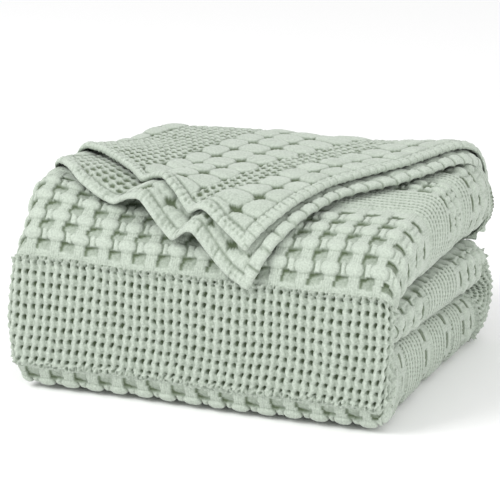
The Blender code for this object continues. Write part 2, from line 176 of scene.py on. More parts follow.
LEFT_EDGES = {
    "lower": (
        Edge(-0.020, 0.000), Edge(0.020, -0.004), Edge(0.038, -0.002, 0.003),
        Edge(0.052, 0.000, 0.013), Edge(0.064, 0.000, 0.020), Edge(0.074, -0.006, 0.012),
        Edge(0.084, -0.016), Edge(0.098, -0.015, 0.004), Edge(0.112, -0.015, 0.014),
        Edge(0.128, -0.016, 0.023), Edge(0.146, -0.023, 0.014), Edge(0.160, -0.030),
        Edge(0.180, -0.036, 0.000), Edge(0.204, -0.042, 0.004), Edge(0.243, -0.036, 0.001),
        Edge(0.300, -0.026, 0.000)),
    "upper": (
        Edge(-0.020, 0.001), Edge(0.022, -0.001, 0.001), Edge(0.045, -0.004, 0.003),
        Edge(0.064, -0.012), Edge(0.095, -0.008, 0.004), Edge(0.125, -0.012, 0.010),
        Edge(0.143, -0.018, 0.001), Edge(0.165, -0.014, 0.001), Edge(0.195, -0.014, 0.001),
        Edge(0.219, -0.012, 0.002), Edge(0.240, -0.016, 0.002), Edge(0.280, -0.016, 0.000)),
}
RIGHT_EDGES = {
    "lower": (
        Edge(-0.020, -0.003), Edge(0.060, -0.005), Edge(0.100, -0.001), Edge(0.132, 0.005),
        Edge(0.160, 0.001), Edge(0.200, -0.009), Edge(0.245, -0.011), Edge(0.290, -0.004),
        Edge(0.330, 0.002), Edge(0.400, 0.002)),
    "upper": (
        Edge(-0.020, -0.002), Edge(0.040, -0.008), Edge(0.075, -0.004), Edge(0.116, 0.003),
        Edge(0.160, -0.002), Edge(0.210, -0.010), Edge(0.245, -0.008), Edge(0.280, -0.004),
        Edge(0.330, 0.000), Edge(0.400, 0.000)),
}


class Corner(NamedTuple):
    """One sheet of the thrown corner, in the flattened outer face of the stack."""

    name: str
    tip_x: float            # across, from the middle
    tip_back: float         # along the outer face, from the row FRONT_ROW
    lift: float             # gap under the sheet, where it lies flat
    right_hem: float        # length of the right hem
    left_hem: float         # length of the left hem
    beads: float            # how much the right hem is puffed, from 0 to 1
    segment: float          # length of its puffed segments
    inset: float            # how much further in its left end lies, over the front of the top
    cell: float             # grid spacing


LOWER = Corner("lower", 0.056, 0.080, 0.0040, 0.46, 0.40, 1.0, 0.0165, 0.010, 0.0020)
UPPER = Corner("upper", 0.050, 0.108, 0.0122, 0.43, 0.38, 0.5, 0.0100, 0.007, 0.0013)
RIGHT_HEM_ANGLE = math.radians(67.0)    # the hems, measured from +X towards the back
LEFT_HEM_ANGLE = math.radians(149.0)
P_AXIS = np.array([math.cos(RIGHT_HEM_ANGLE), math.sin(RIGHT_HEM_ANGLE)])
Q_AXIS = np.array([math.cos(LEFT_HEM_ANGLE), math.sin(LEFT_HEM_ANGLE)])


def step(value: np.ndarray, low: float = 0.0, high: float = 1.0) -> np.ndarray:
    """Give a soft step.

    Args:
        value: the input.
        low: where the step starts.
        high: where it ends; below low, the step goes down.

    Returns:
        Values from 0 to 1.
    """
    t = np.clip((np.asarray(value, float) - low) / (high - low), 0.0, 1.0)
    return t * t * (3.0 - 2.0 * t)


class Skin:
    """The outer skin of a run of sections, wrapped round both side bulges.

    A point is found by its length along the run (from FRONT_ROW) and its length
    across (from the middle, positive to the right and round the right bulge).
    """

    TURN = 40               # points round a bulge
    FLAT = 60               # and across the outer face
    INNER = 40              # and back over the inner face
    BETWEEN = 40            # places that are looked up between two rows
    INNER_LEFT = 0.05       # how much of the inner face the skin's left end covers
    PAST_LEFT = 0.004       # how far its right end passes the start of the left turn

    def __init__(self, rows: tuple, zero: int) -> None:
        """Measure the run.

        Args:
            rows: its sections.
            zero: the section where lengths along the run are counted from.
        """
        self.table = np.array([row[1:] for row in rows])
        last = len(rows) - 1
        self.places = np.linspace(0.0, last, self.BETWEEN * last + 1)
        cols = self.columns(self.places)
        steps = np.hypot(np.diff(cols["out_y"]), np.diff(cols["out_z"]))
        self.length = np.concatenate([[0.0], np.cumsum(steps)])
        self.length -= self.length[self.BETWEEN * zero]
        self.start, self.end = float(self.length[0]), float(self.length[-1])

    def columns(self, place: np.ndarray) -> dict:
        """Look up the sections on a smooth curve through the rows.

        Args:
            place: fractional row numbers.

        Returns:
            One array for each named column.
        """
        last = len(self.table) - 1
        place = np.clip(place, 0.0, last)
        k = np.minimum(place.astype(int), last - 1)
        f = (place - k)[:, None]
        a, b, c, d = (self.table[np.clip(k + n, 0, last)] for n in (-1, 0, 1, 2))
        values = 0.5 * (2 * b + (c - a) * f + (2 * a - 5 * b + 4 * c - d) * f * f
                        + (3 * b - 3 * c + d - a) * f ** 3)
        return {name: values[:, n] for n, name in enumerate(Row._fields[1:])}

    def loops(self, along: np.ndarray) -> tuple:
        """Walk round each section.

        Args:
            along: lengths along the run.

        Returns:
            Points, of shape (sections, points, 3), and the length across of each.
        """
        c = {k: v[:, None] for k, v in
             self.columns(np.interp(along, self.length, self.places)).items()}
        thick = CLOTH * (1 - (1 - PRESSED) * np.clip(c["press"], 0, 1))
        flat_r = c["reach_right"] - c["bulge"] - thick / 2
        wide_r = c["bulge"] + thick / 2
        flat_l = c["reach_left"] - c["bulge"] * LEFT_BULGE - thick / 2
        wide_l = c["bulge"] * LEFT_BULGE * LEFT_TURN + thick / 2
        turn = np.linspace(0.0, math.pi, self.TURN)[None, :]
        back = turn[:, ::-1]
        full_l = 1 + (SQUARE - 1) * LEFT_TURN
        ones = np.ones_like(flat_r)
        inward = np.linspace(0.0, 1.0, self.INNER)[None, :]
        x = np.concatenate([
            -flat_l + self.INNER_LEFT * inward[:, ::-1],
            -(flat_l + wide_l * np.sin(back) ** full_l),
            -flat_l + (flat_l + flat_r) * np.linspace(0, 1, self.FLAT + 2)[None, 1:-1],
            flat_r + wide_r * np.sin(turn) ** SQUARE,
            flat_r - (flat_r + flat_l + self.PAST_LEFT) * inward], axis=1)
        depth = np.concatenate([
            LEFT_TURN * ones + 0 * inward,
            ones * LEFT_TURN * (1 - np.cos(back)) / 2,
            0 * ones + np.zeros((1, self.FLAT)),
            ones * (1 - np.cos(turn)) / 2,
            ones + 0 * inward], axis=1)
        share = 1 - INNER_STAYS * depth
        left = step(-x, EDGE_START, EDGE_FULL) * share
        right = step(x, EDGE_START, EDGE_FULL) * share
        y = (c["out_y"] + (c["in_y"] - c["out_y"]) * depth
             + left * c["left_y"] + right * c["right_y"])
        z = (c["out_z"] + (c["in_z"] - c["out_z"]) * depth
             + left * c["left_z"] + right * c["right_z"])
        points = np.stack([x, y, z], axis=2)
        steps = np.linalg.norm(np.diff(points, axis=1), axis=2)
        across = np.concatenate([0 * ones, np.cumsum(steps, axis=1)], axis=1)
        first = self.INNER + self.TURN
        middle = slice(first, first + self.FLAT)
        for n in range(len(along)):
            across[n] -= np.interp(0.0, x[n, middle], across[n, middle])
        return points, across

    def surface(self, along: np.ndarray, across: np.ndarray) -> np.ndarray:
        """Give a grid of points.

        Args:
            along: lengths along the run, one for each line of the grid.
            across: lengths across, one for each column.

        Returns:
            Points, of shape (along, across, 3).
        """
        points, lengths = self.loops(along)
        grid = np.empty((len(along), len(across), 3))
        for n in range(len(along)):
            for axis in range(3):
                grid[n, :, axis] = np.interp(across, lengths[n], points[n, :, axis])
        return grid


def normals(grid: np.ndarray) -> np.ndarray:
    """Give the outward normals of a grid whose lines run along and columns across."""
    cross = np.cross(np.gradient(grid, axis=1), np.gradient(grid, axis=0))
    return cross / np.maximum(np.linalg.norm(cross, axis=2, keepdims=True), 1e-12)


class Cover:
    """The face that the corner lies on: the skin from the front over the back edge."""

    CELL = 0.002            # spacing of the grid that the face is kept on
    MARGIN = 0.01           # the grid goes on this far past both ends of the run
    HALF_WIDTH = 0.26       # and this far to either side of the middle
    LAST = 1.001            # keeps a place inside the grid's last cell

    def __init__(self) -> None:
        """Sample the face on a grid, which goes straight down before its start."""
        skin = Skin(COURSE[FRONT_ROW:] + TAIL, 0)
        self.end = skin.end
        self.along = np.arange(-self.MARGIN, self.end + self.MARGIN, self.CELL)
        self.across = np.arange(-self.HALF_WIDTH, self.HALF_WIDTH, self.CELL)
        self.grid = skin.surface(np.clip(self.along, 0.0, self.end), self.across)
        before = self.along < 0
        self.grid[before] += np.outer(self.along[before], [0, 0, 1])[:, None, :]
        self.normal = normals(self.grid)

    def point(self, across: np.ndarray, along: np.ndarray, lift: np.ndarray) -> np.ndarray:
        """Give points at a lift over the face.

        Args:
            across: lengths across.
            along: lengths along, of the same shape.
            lift: heights over the face, of the same shape.

        Returns:
            Points, with one more axis of 3.
        """
        i = np.clip((across - self.across[0]) / self.CELL, 0, len(self.across) - self.LAST)
        j = np.clip((along - self.along[0]) / self.CELL, 0, len(self.along) - self.LAST)
        i0, j0 = i.astype(int), j.astype(int)
        fi, fj = (i - i0)[..., None], (j - j0)[..., None]

        def pick(table: np.ndarray) -> np.ndarray:
            """Read a table between its four nearest entries.

            Args:
                table: a value for each point of the grid.

            Returns:
                The values at the places asked for.
            """
            near = table[j0, i0] * (1 - fi) + table[j0, i0 + 1] * fi
            far = table[j0 + 1, i0] * (1 - fi) + table[j0 + 1, i0 + 1] * fi
            return near * (1 - fj) + far * fj

        return pick(self.grid) + pick(self.normal) * lift[..., None]


# --------------------------------------------------------------------------- weave


class Kind(Enum):
    """The kinds of band in the weave."""

    FINE = "fine"           # small cells: cords, bars and pits
    SMALL = "small"         # tighter cells, ribs with ticks between them
    LARGE = "large"         # pillows, necks, sunk squares and small bars
    PILLOW = "pillow"       # the other face of the large cells: pillows and holes


class Band(NamedTuple):
    """A band of the weave, up to where the next one starts."""

    start: float            # length along, or distance from the hem
    kind: Kind
    row: float = 0.0104     # length of a cell along
    base: float = 0.0       # where a row of pillows has its middle
    shade: float = 1.0      # sunk squares have painted shade at their top, with -1 at their foot


class Chance:
    """Repeatable random numbers for cells and slow waves."""

    SIZE = 64               # the cells' numbers repeat after this many
    CHANNELS = 4            # numbers for each cell
    WAVES = 8               # slow waves that are added up
    SHORTEST = 0.7          # length of the first one, as a share of the size asked for
    LONGER = 0.1            # and what each next one has more
    BEND = 0.4              # how much the waves wind
    SUM = 4.0               # what their sum is divided by

    def __init__(self, seed: int) -> None:
        """Draw the numbers.

        Args:
            seed: which numbers.
        """
        rng = np.random.default_rng(seed)
        self.cells = rng.uniform(-1.0, 1.0, (self.SIZE, self.SIZE, self.CHANNELS))
        self.waves = rng.uniform(0.0, 2 * math.pi, (self.WAVES, 3))

    def cell(self, i: np.ndarray, j: np.ndarray, channel: int) -> np.ndarray:
        """Give a number from -1 to 1 for each cell."""
        return self.cells[i.astype(int) % self.SIZE, j.astype(int) % self.SIZE, channel]

    def slow(self, u: np.ndarray, v: np.ndarray, size: float) -> np.ndarray:
        """Give slow waves.

        Args:
            u: lengths one way.
            v: lengths the other way.
            size: about how long the waves are.

        Returns:
            Numbers from about -1 to 1.
        """
        total = 0.0
        for k, (angle, phase, other) in enumerate(self.waves):
            w = 2 * math.pi / (size * (self.SHORTEST + self.LONGER * k))
            total = total + np.sin(w * (u * math.cos(angle) + v * math.sin(angle))
                                   + phase + np.sin(other + w * self.BEND * v))
        return total / self.SUM


@dataclass(frozen=True)
class Weave:
    """The relief of the cloth, in bands across its length.

    Each kind of cell gives two numbers at a place: its height, from 0 at a pit's
    floor to about 1.2, and its painted shade, from 0 in the light to 1 deep in shade.
    Inside a cell, du and dv are the distances from its middle as shares of the cell.
    """

    bands: tuple
    pitch: float = 0.0082           # small cells, across
    tick: float = 0.0043            # and in the tighter bands
    rib: float = 0.0072             # a rib with its row of ticks, along
    per_large: int = 3              # small cells in the width of a large one
    pillow_pitch: float = 0.0262    # pillows of the other face, across
    neck_thread: float = 0.0024     # the threads on a neck
    pillow_thread: float = 0.0026   # and on a pillow of the other face
    offset: float = 0.0063          # where the middle of a chain lies
    tight: tuple = (0.150, 0.192)   # from here to there the large cells close up
    open: float = 1.0               # how wide the small cells' pits stand open
    waver: float = 0.0009           # how far the columns sway
    waver_size: float = 0.11        # in waves of about this length
    row_waver: float = 0.0010       # and the rows
    row_waver_size: float = 0.13
    rough: float = 0.035            # unevenness of the yarn
    shallow: float = 1.0            # share of their depth that the small cells have
    loose: bool = True              # loose loops of yarn on their borders
    loops: tuple = ((0.0066, 0.0), (0.0051, 0.37))  # their spacing, and where they start
    loop_in: float = 0.0012         # how far inside the border they lie
    seed: int = 3

    def fine(self, u: np.ndarray, v: np.ndarray, band: Band, end: float,
             chance: Chance) -> tuple:
        """Give small cells: columns of pits between cords, with a bar over each pit.

        Args:
            u: lengths across.
            v: lengths along.
            band: the band of these cells.
            end: where the band ends; not used here.
            chance: the random numbers.

        Returns:
            Height and painted shade, of the same shape.
        """
        half_wide, half_tall = 0.225, 0.210     # of a pit
        square = 3.2                            # 2 would make the pits round
        swing, swing_start = 0.12, 0.1          # the columns wind, once in each row
        slant = 0.25                            # and the pits lean
        v = v - band.start
        i = np.floor(u / self.pitch + 0.5)
        aside = swing * np.cos(2 * math.pi * (v / band.row + swing_start))
        du = u / self.pitch - i + 0.5
        du = du - np.floor(du) - 0.5 - aside
        row = v / band.row + 0.05 * chance.cell(i, i, 1)
        j = np.floor(row)
        dv = row - j - 0.5
        off_u = du - 0.07 * chance.cell(i, j, 0)
        off_v = dv - 0.08 * chance.cell(i, j, 1) + slant * off_u
        wide = self.open * (half_wide + 0.035 * chance.cell(i, j, 2))
        tall = self.open * (half_tall + 0.045 * chance.cell(i, j, 3))
        away = np.abs(off_u / wide) ** square + np.abs(off_v / tall) ** square
        away = away ** (1 / square)
        notch = step(-off_u / wide - off_v / tall, 0.35, 1.1)
        pit = step(away, 1.25, 0.65)
        cord = 1.0 - 0.45 * step(np.abs(du), 0.38, 0.14)
        bead = 0.22 * np.cos(2 * math.pi * dv) * step(np.abs(du), 0.2, 0.4)
        height = (cord - bead + 0.10 * chance.cell(j, i, 2)) * (1 - pit * (1 - 0.45 * notch))
        # painted shade in the pits, less where the notch comes in, on the bars between the cords
        # and round the pits
        painted_shade = step(away, 1.22, 0.85) * (1.08 + 0.16 * chance.cell(i, j, 3) - 0.60 * notch)
        between = 0.20 * step(np.abs(du), 0.36, 0.20)
        around = 0.30 * step(away, 1.75, 1.05)
        painted_shade = painted_shade * min(max(self.open ** 2, 1.0), 1.2)    # wider pits get more painted shade
        height = 1 + (height - 1) * self.shallow
        return height, np.maximum(painted_shade, np.maximum(between, around))

    def small(self, u: np.ndarray, v: np.ndarray, band: Band, end: float,
              chance: Chance) -> tuple:
        """Give tighter cells: ribs, with a slanting row of ticks between them.

        Args:
            u: lengths across.
            v: lengths along.
            band: the band of these cells.
            end: where the band ends; not used here.
            chance: the random numbers.

        Returns:
            Height and painted shade, of the same shape.
        """
        half_wide, half_tall = 0.29, 0.20       # of a tick
        j = np.floor((v - band.start) / self.rib)
        dv = (v - band.start) / self.rib - j - 0.5
        uu = u / self.tick + 0.5 * dv + 0.5 * j
        i = np.floor(uu + 0.5)
        du = uu - i + 0.14 * chance.cell(i, j, 0)
        rib = 1.0 - 0.35 * step(np.abs(dv), 0.26, 0.02)
        tick = step(np.hypot(du / half_wide, dv / half_tall), 1.35, 0.65)
        tick = tick * (0.95 + 0.25 * chance.cell(i, j, 1))
        # painted shade in the ticks and along the ribs' edges
        return rib * (1 - 0.60 * tick), 0.10 * step(np.abs(dv), 0.30, 0.05) + 1.10 * tick

    def large(self, u: np.ndarray, v: np.ndarray, band: Band, end: float,
              chance: Chance) -> tuple:
        """Give large cells: chains of pillows, with bars and sunk squares between them.

        Args:
            u: lengths across.
            v: lengths along.
            band: the band of these cells.
            end: where the band ends.
            chance: the random numbers.

        Returns:
            Height and painted shade, of the same shape.
        """
        least = 0.35                            # a row nearer to the band's end has no pillows
        half_wide, half_tall = 0.365, 0.315     # of a pillow
        full = 2.3                              # 2 would make the pillows elliptical
        half_neck = 0.225
        half_bar = 0.115
        square_top, square_foot = 0.27, 0.735   # down from a pillow's middle
        wide = self.per_large * self.pitch
        i = np.floor(u / wide + 0.5)
        j = np.floor((v - band.base) / band.row + 0.5)
        middle = band.base + j * band.row
        whole = ((middle - band.start > least * band.row)
                 & (end - middle > least * band.row)).astype(float)
        shut = step(u, self.tight[1], self.tight[0])
        dv = (v - middle) / band.row * band.shade
        du = u / wide - i + 0.035 * chance.cell(i, j, 0) + 0.05 * dv
        dv = dv + 0.04 * chance.cell(i, j, 1)
        # the chain: a round pillow on a threaded neck
        ball_u = du / (half_wide + 0.02 * chance.cell(i, j, 2))
        ball_v = dv / half_tall
        ball = np.abs(ball_u) ** full + np.abs(ball_v) ** full
        threads = np.cos(2 * math.pi * u / self.neck_thread + 1.5 * chance.cell(i, j, 3))
        neck_half = half_neck + 0.02 * chance.cell(j, i, 2) - 0.06 * (1 - shut)
        neck = step(np.abs(du), neck_half + 0.040, neck_half - 0.035)
        dome = np.sqrt(np.clip(1 - ball, 0, 1)) * whole
        neck_high = 0.60 + 0.14 * np.clip(1 - (du / neck_half) ** 2, 0, 1) + 0.07 * threads
        chain_high = np.maximum(neck * neck_high, (0.50 + 0.85 * dome) * (dome > 0.02))
        on_chain = np.maximum(neck, step(ball, 1.10, 0.85) * whole)
        # between two chains: a bar beside the pillows, a ledge and a sunk square below
        side = du - np.floor(du) - 0.5
        below = -dv - np.floor(-dv)
        bar_line = np.abs(side - 0.03) / half_bar
        bar = step(bar_line, 1.15, 0.55) * step(np.abs(dv), 0.33, 0.22) * whole
        top = square_top - 0.08 * side + 0.03 * chance.cell(j, i, 0) + 0.10 * (1 - shut)
        foot = square_foot - 0.10 * (1 - shut)
        inside = step(below, top - 0.02, top + 0.035) * step(below, foot + 0.05, foot - 0.03)
        across_square = np.clip((side + 0.27) / 0.54, 0, 1)
        down = np.clip((below - top) / (foot - top), 0, 1)
        # painted shadow under a sunk square's top ledge, lighter towards its foot and darker in
        # the closed-up squares
        ledge_shadow = step(down + 0.45 * across_square, 0.66, 0.20)
        ledge_shadow = np.maximum(ledge_shadow, 0.85 * step(across_square, 0.30, 0.10) * shut)
        square_shade = 0.31 + 0.75 * ledge_shadow - 0.10 * step(down, 0.6, 1.0) + 0.45 * (1 - shut)
        floor = 0.08 + 0.34 * step(down, 0.15, 1.0)
        ledge = 0.46 + 0.42 * bar
        height = np.maximum(chain_high, (1 - inside) * ledge + inside * floor)
        # painted shade in the groove beside each bar
        groove = (1 - bar) * whole * (0.62 - 0.35 * step(side, -0.02, 0.06)) * shut
        painted_shade = (1 - on_chain) * (inside * square_shade + (1 - inside) * groove)
        # painted shadow on a pillow's lower rim, and painted shade between the threads of a neck
        edge = 0.22 * step(np.abs(ball - 1.08), 0.30, 0.0) * whole * (dv < 0.05)
        lines = (0.05 + 0.10 * neck) * np.clip(-threads, 0, 1) * (1 - dome)
        return height, np.maximum(painted_shade, on_chain * (lines + edge * shut))

    def pillow(self, u: np.ndarray, v: np.ndarray, band: Band, end: float,
               chance: Chance) -> tuple:
        """Give large cells from the other face: pillows, with a hole where four meet.

        Args:
            u: lengths across.
            v: lengths along.
            band: the band of these cells.
            end: where the band ends; not used here.
            chance: the random numbers.

        Returns:
            Height and painted shade, of the same shape.
        """
        slant = 0.17                            # each row lies this much of a pillow aside
        full = 2.8                              # 2 would make the pillows domed
        star = 0.75                             # below 1, the holes have points
        j = np.floor((v - band.base) / band.row + 0.5)
        uu = u / self.pillow_pitch + slant * (v - band.base) / band.row
        i = np.floor(uu + 0.5)
        du = uu - i + 0.03 * chance.cell(i, j, 0)
        dv = (v - band.base) / band.row - j + 0.03 * chance.cell(i, j, 1)
        puff = (1 - 0.50 * np.abs(2 * du) ** full) * (1 - 0.42 * np.abs(2 * dv) ** full)
        gap = np.abs(np.abs(du) - 0.5) ** star + np.abs(np.abs(dv) - 0.5) ** star
        gap = gap ** (1 / star) + 0.05 * chance.slow(v, u, 0.005)
        hole = step(gap, 0.38 + 0.06 * chance.cell(j, i, 3), 0.20)
        seam = step(np.abs(dv), 0.42, 0.49) * 0.34 + step(np.abs(du), 0.43, 0.49) * 0.34
        threads = np.cos(2 * math.pi * v / self.pillow_thread + 2 * chance.cell(i, j, 3))
        height = (0.22 + 1.18 * np.clip(puff, 0, 1) + 0.09 * threads) * (1 - 0.75 * hole)
        # painted shade in the holes, along the seams and between the threads
        shade = np.maximum(1.3 * hole, seam + 0.12 * np.clip(-threads, 0, 1))
        return height * (1 + 0.12 * chance.cell(i, j, 2)), shade

    def fray(self, u: np.ndarray, v: np.ndarray, border: float, chance: Chance,
             height: np.ndarray, painted_shade: np.ndarray) -> None:
        """Add the loose loops of yarn on a border of the fine cells.

        Args:
            u: lengths across.
            v: lengths along.
            border: where the border lies along.
            chance: the random numbers.
            height: heights, changed in place.
            painted_shade: shade painted into the colour, changed in place.
        """
        half_wide, half_tall = 0.0022, 0.0026   # of a loop
        for size, shift in self.loops:
            place = u / size + shift
            i = np.floor(place)
            k = i * 0 + round(border * 1000)
            off = (place - i - 0.5 - 0.16 * chance.cell(i, k, 0)) * size
            up = v - border - 0.0018 * chance.cell(i, k, 1)
            wide = half_wide + 0.0006 * chance.cell(i, k, 2)
            ring = np.hypot(off / wide, up / (half_tall + 0.0008 * chance.cell(i, k, 3)))
            loop = np.exp(-((ring - 1.0) / 0.38) ** 2)
            height += 0.42 * loop
            # the loops take painted shade off, and painted shade goes into their middles
            painted_shade *= 1 - 0.80 * loop
            painted_shade += 0.36 * np.exp(-(ring / 0.55) ** 2)

    def relief(self, u: np.ndarray, v: np.ndarray) -> tuple:
        """Give the relief at places on the cloth.

        Args:
            u: lengths across.
            v: lengths along, of the same shape.

        Returns:
            Height and painted shade, of the same shape.
        """
        chance = Chance(self.seed)
        uu = u - self.offset + self.waver * chance.slow(u, v, self.waver_size)
        vv = v + self.row_waver * chance.slow(v + 3.1, u, self.row_waver_size)
        makers = {Kind.FINE: self.fine, Kind.SMALL: self.small,
                  Kind.LARGE: self.large, Kind.PILLOW: self.pillow}
        height = np.zeros_like(uu)
        painted_shade = np.zeros_like(uu)
        ends = [band.start for band in self.bands[1:]] + [math.inf]
        for band, end in zip(self.bands, ends):
            here = (vv >= band.start) & (vv < end)
            if here.any():
                height[here], painted_shade[here] = makers[band.kind](
                    uu[here], vv[here], band, end, chance)
            if band.kind is Kind.FINE and self.loose:
                for border, side in ((band.start, 1), (end, -1)):
                    if abs(border) < 1.0:       # the cloth's own ends have none
                        self.fray(u, vv, border + self.loop_in * side, chance, height, painted_shade)
        rough = chance.slow(1.3 * u, v + 0.7, 0.0058) + chance.slow(v, u + 0.3, 0.0033)
        # where the yarn stands higher, a little less shade is painted
        return height + self.rough * rough, np.clip(painted_shade - 0.05 * rough, 0, 1)


# --------------------------------------------------------------------------- pieces


def grid_object(name: str, grid: np.ndarray, painted_shade: np.ndarray,
                uv: np.ndarray) -> bpy.types.Object:
    """Build a mesh from a grid of points.

    Args:
        name: the object's name.
        grid: points, of shape (lines, columns, 3).
        painted_shade: how much shade is painted at each point, kept as a point attribute of that
            name.
        uv: the place on the cloth in metres at each point, kept as its UV map.

    Returns:
        The object.
    """
    lines, columns = grid.shape[:2]
    bm = bmesh.new()
    bmesh.ops.create_grid(bm, x_segments=columns - 1, y_segments=lines - 1, size=0.5)
    mesh = bpy.data.meshes.new(name)
    bm.to_mesh(mesh)
    bm.free()
    flat = np.empty(len(mesh.vertices) * 3)
    mesh.vertices.foreach_get("co", flat)
    flat = flat.reshape(-1, 3)
    i = np.rint((flat[:, 0] + 0.5) * (columns - 1)).astype(int)
    j = np.rint((flat[:, 1] + 0.5) * (lines - 1)).astype(int)
    mesh.vertices.foreach_set("co", (grid[j, i] - CENTRE).reshape(-1))
    attribute = mesh.attributes.new("painted_shade", "FLOAT", "POINT")
    attribute.data.foreach_set("value", painted_shade[j, i].astype(np.float32))
    corners = np.empty(len(mesh.loops), dtype=np.int32)
    mesh.loops.foreach_get("vertex_index", corners)
    layer = mesh.uv_layers.new(name="weave")
    layer.data.foreach_set("uv", uv[j, i][corners].astype(np.float32).reshape(-1))
    mesh.update()
    mesh.shade_smooth()
    obj = bpy.data.objects.new(name, mesh)
    bpy.context.scene.collection.objects.link(obj)
    return obj


def lines_between(start: float, end: float, cell: float) -> np.ndarray:
    """Give evenly spaced places from start to end, about a cell apart."""
    return np.linspace(start, end, max(2, round((end - start) / cell) + 1))


@dataclass(frozen=True)
class Part:
    """A part of the stack's skin that is one object."""

    name: str
    along: tuple            # lengths along, from and to
    across: tuple           # lengths across, from and to
    cell_along: float       # grid spacing
    cell_across: float
    coarse_from: float = math.inf   # length across where wider columns begin
    coarse: float = 0.0028          # and how wide those are

    def trimmed(self, skin: Skin) -> tuple:
        """Give its lengths along, from and to, within those of the skin."""
        return max(self.along[0], skin.start), min(self.along[1], skin.end)

    def columns(self) -> np.ndarray:
        """Place its columns.

        Returns:
            Their lengths across.
        """
        turn = min(self.across[1], self.coarse_from)
        across = lines_between(self.across[0], turn, self.cell_across)
        if turn < self.across[1]:
            wider = lines_between(turn, self.across[1], self.coarse)
            across = np.concatenate([across, wider[1:]])
        return across


@dataclass
class Stack:
    """The folded strip: the skin round all of its runs."""

    weave: Weave
    depth: float = 0.0046   # how deep the pits go
    crown: float = 1.12     # height of the weave that comes up to the skin
    gather: float = 0.42    # how much closer the rows lie at the top left
    gather_from: float = 0.085      # length along where that begins
    gather_run: float = 0.12        # over how much of the length it grows
    gather_left: float = 0.15       # and how far to the left
    lean: float = 0.006     # how far the columns move aside
    lean_half: float = 0.03         # from this far below to this far over the front row
    smooth: float = 0.75    # how much of the relief is pressed out below the corner's back
    smooth_along: tuple = (0.375, 0.405)    # between these lengths along
    smooth_height: float = 0.9
    calm: float = 0.35      # how much shallower the relief is on the sides
    calm_right: tuple = (0.195, 0.235)      # between these lengths across
    calm_left: tuple = (0.165, 0.200)
    floor: float = -0.0004  # the cloth is pressed flat where it would go below this

    def build(self, part: Part, skin: Skin) -> bpy.types.Object:
        """Build one part of the skin.

        Args:
            part: which part.
            skin: the strip's skin.

        Returns:
            The object.
        """
        along = lines_between(*part.trimmed(skin), part.cell_along)
        across = part.columns()
        grid = skin.surface(along, across)
        u, v = np.meshgrid(across, along)
        closer = (self.gather * step(-u, 0.0, self.gather_left)
                  * np.clip(v - self.gather_from, 0.0, self.gather_run))
        lean = self.lean * step(v, self.lean_half, -self.lean_half)
        height, painted_shade = self.weave.relief(u + lean, v + closer)
        flat = self.smooth * step(v, *self.smooth_along)
        # where the relief is pressed out, half of the painted shade goes with it
        height, painted_shade = height + (self.smooth_height - height) * flat, painted_shade * (1 - 0.5 * flat)
        calm = np.maximum(step(u, *self.calm_right), step(-u, *self.calm_left))
        depth = self.depth * (1 - self.calm * calm)
        grid = grid + normals(grid) * ((height - self.crown) * depth)[..., None]
        grid[..., 2] = np.maximum(grid[..., 2], self.floor)
        return grid_object(part.name, grid, painted_shade, np.stack([u, v], axis=2))


PARTS = (
    Part("front", (-0.070, 0.074), (-0.215, 0.185), 0.00080, 0.00080),
    Part("shoulder", (0.074, 0.200), (-0.215, 0.185), 0.00080, 0.00080),
    Part("right_shoulder", (0.200, 0.330), (0.060, 0.185), 0.00115, 0.00115),
    Part("top", (0.200, 0.330), (-0.215, 0.060), 0.0025, 0.0025),
    Part("top_back", (0.330, math.inf), (-0.215, 0.185), 0.0025, 0.0025),
    Part("right_side_low", (-math.inf, -0.070), (0.185, 0.285), 0.0009, 0.0007, 0.248),
    Part("right_side_high", (-0.070, math.inf), (0.185, 0.285), 0.0009, 0.0007, 0.248),
    Part("left_side", (-math.inf, math.inf), (-0.285, -0.215), 0.0020, 0.0020),
    Part("middle", (-math.inf, -0.470), (-0.215, 0.185), 0.0045, 0.0045),
    Part("back", (-0.470, -0.310), (-0.215, 0.185), 0.0018, 0.0018),
    Part("under", (-0.310, -0.070), (-0.215, 0.185), 0.0036, 0.0036),
    Part("inside", (-math.inf, math.inf), (0.285, 0.600), 0.0070, 0.0070),
)


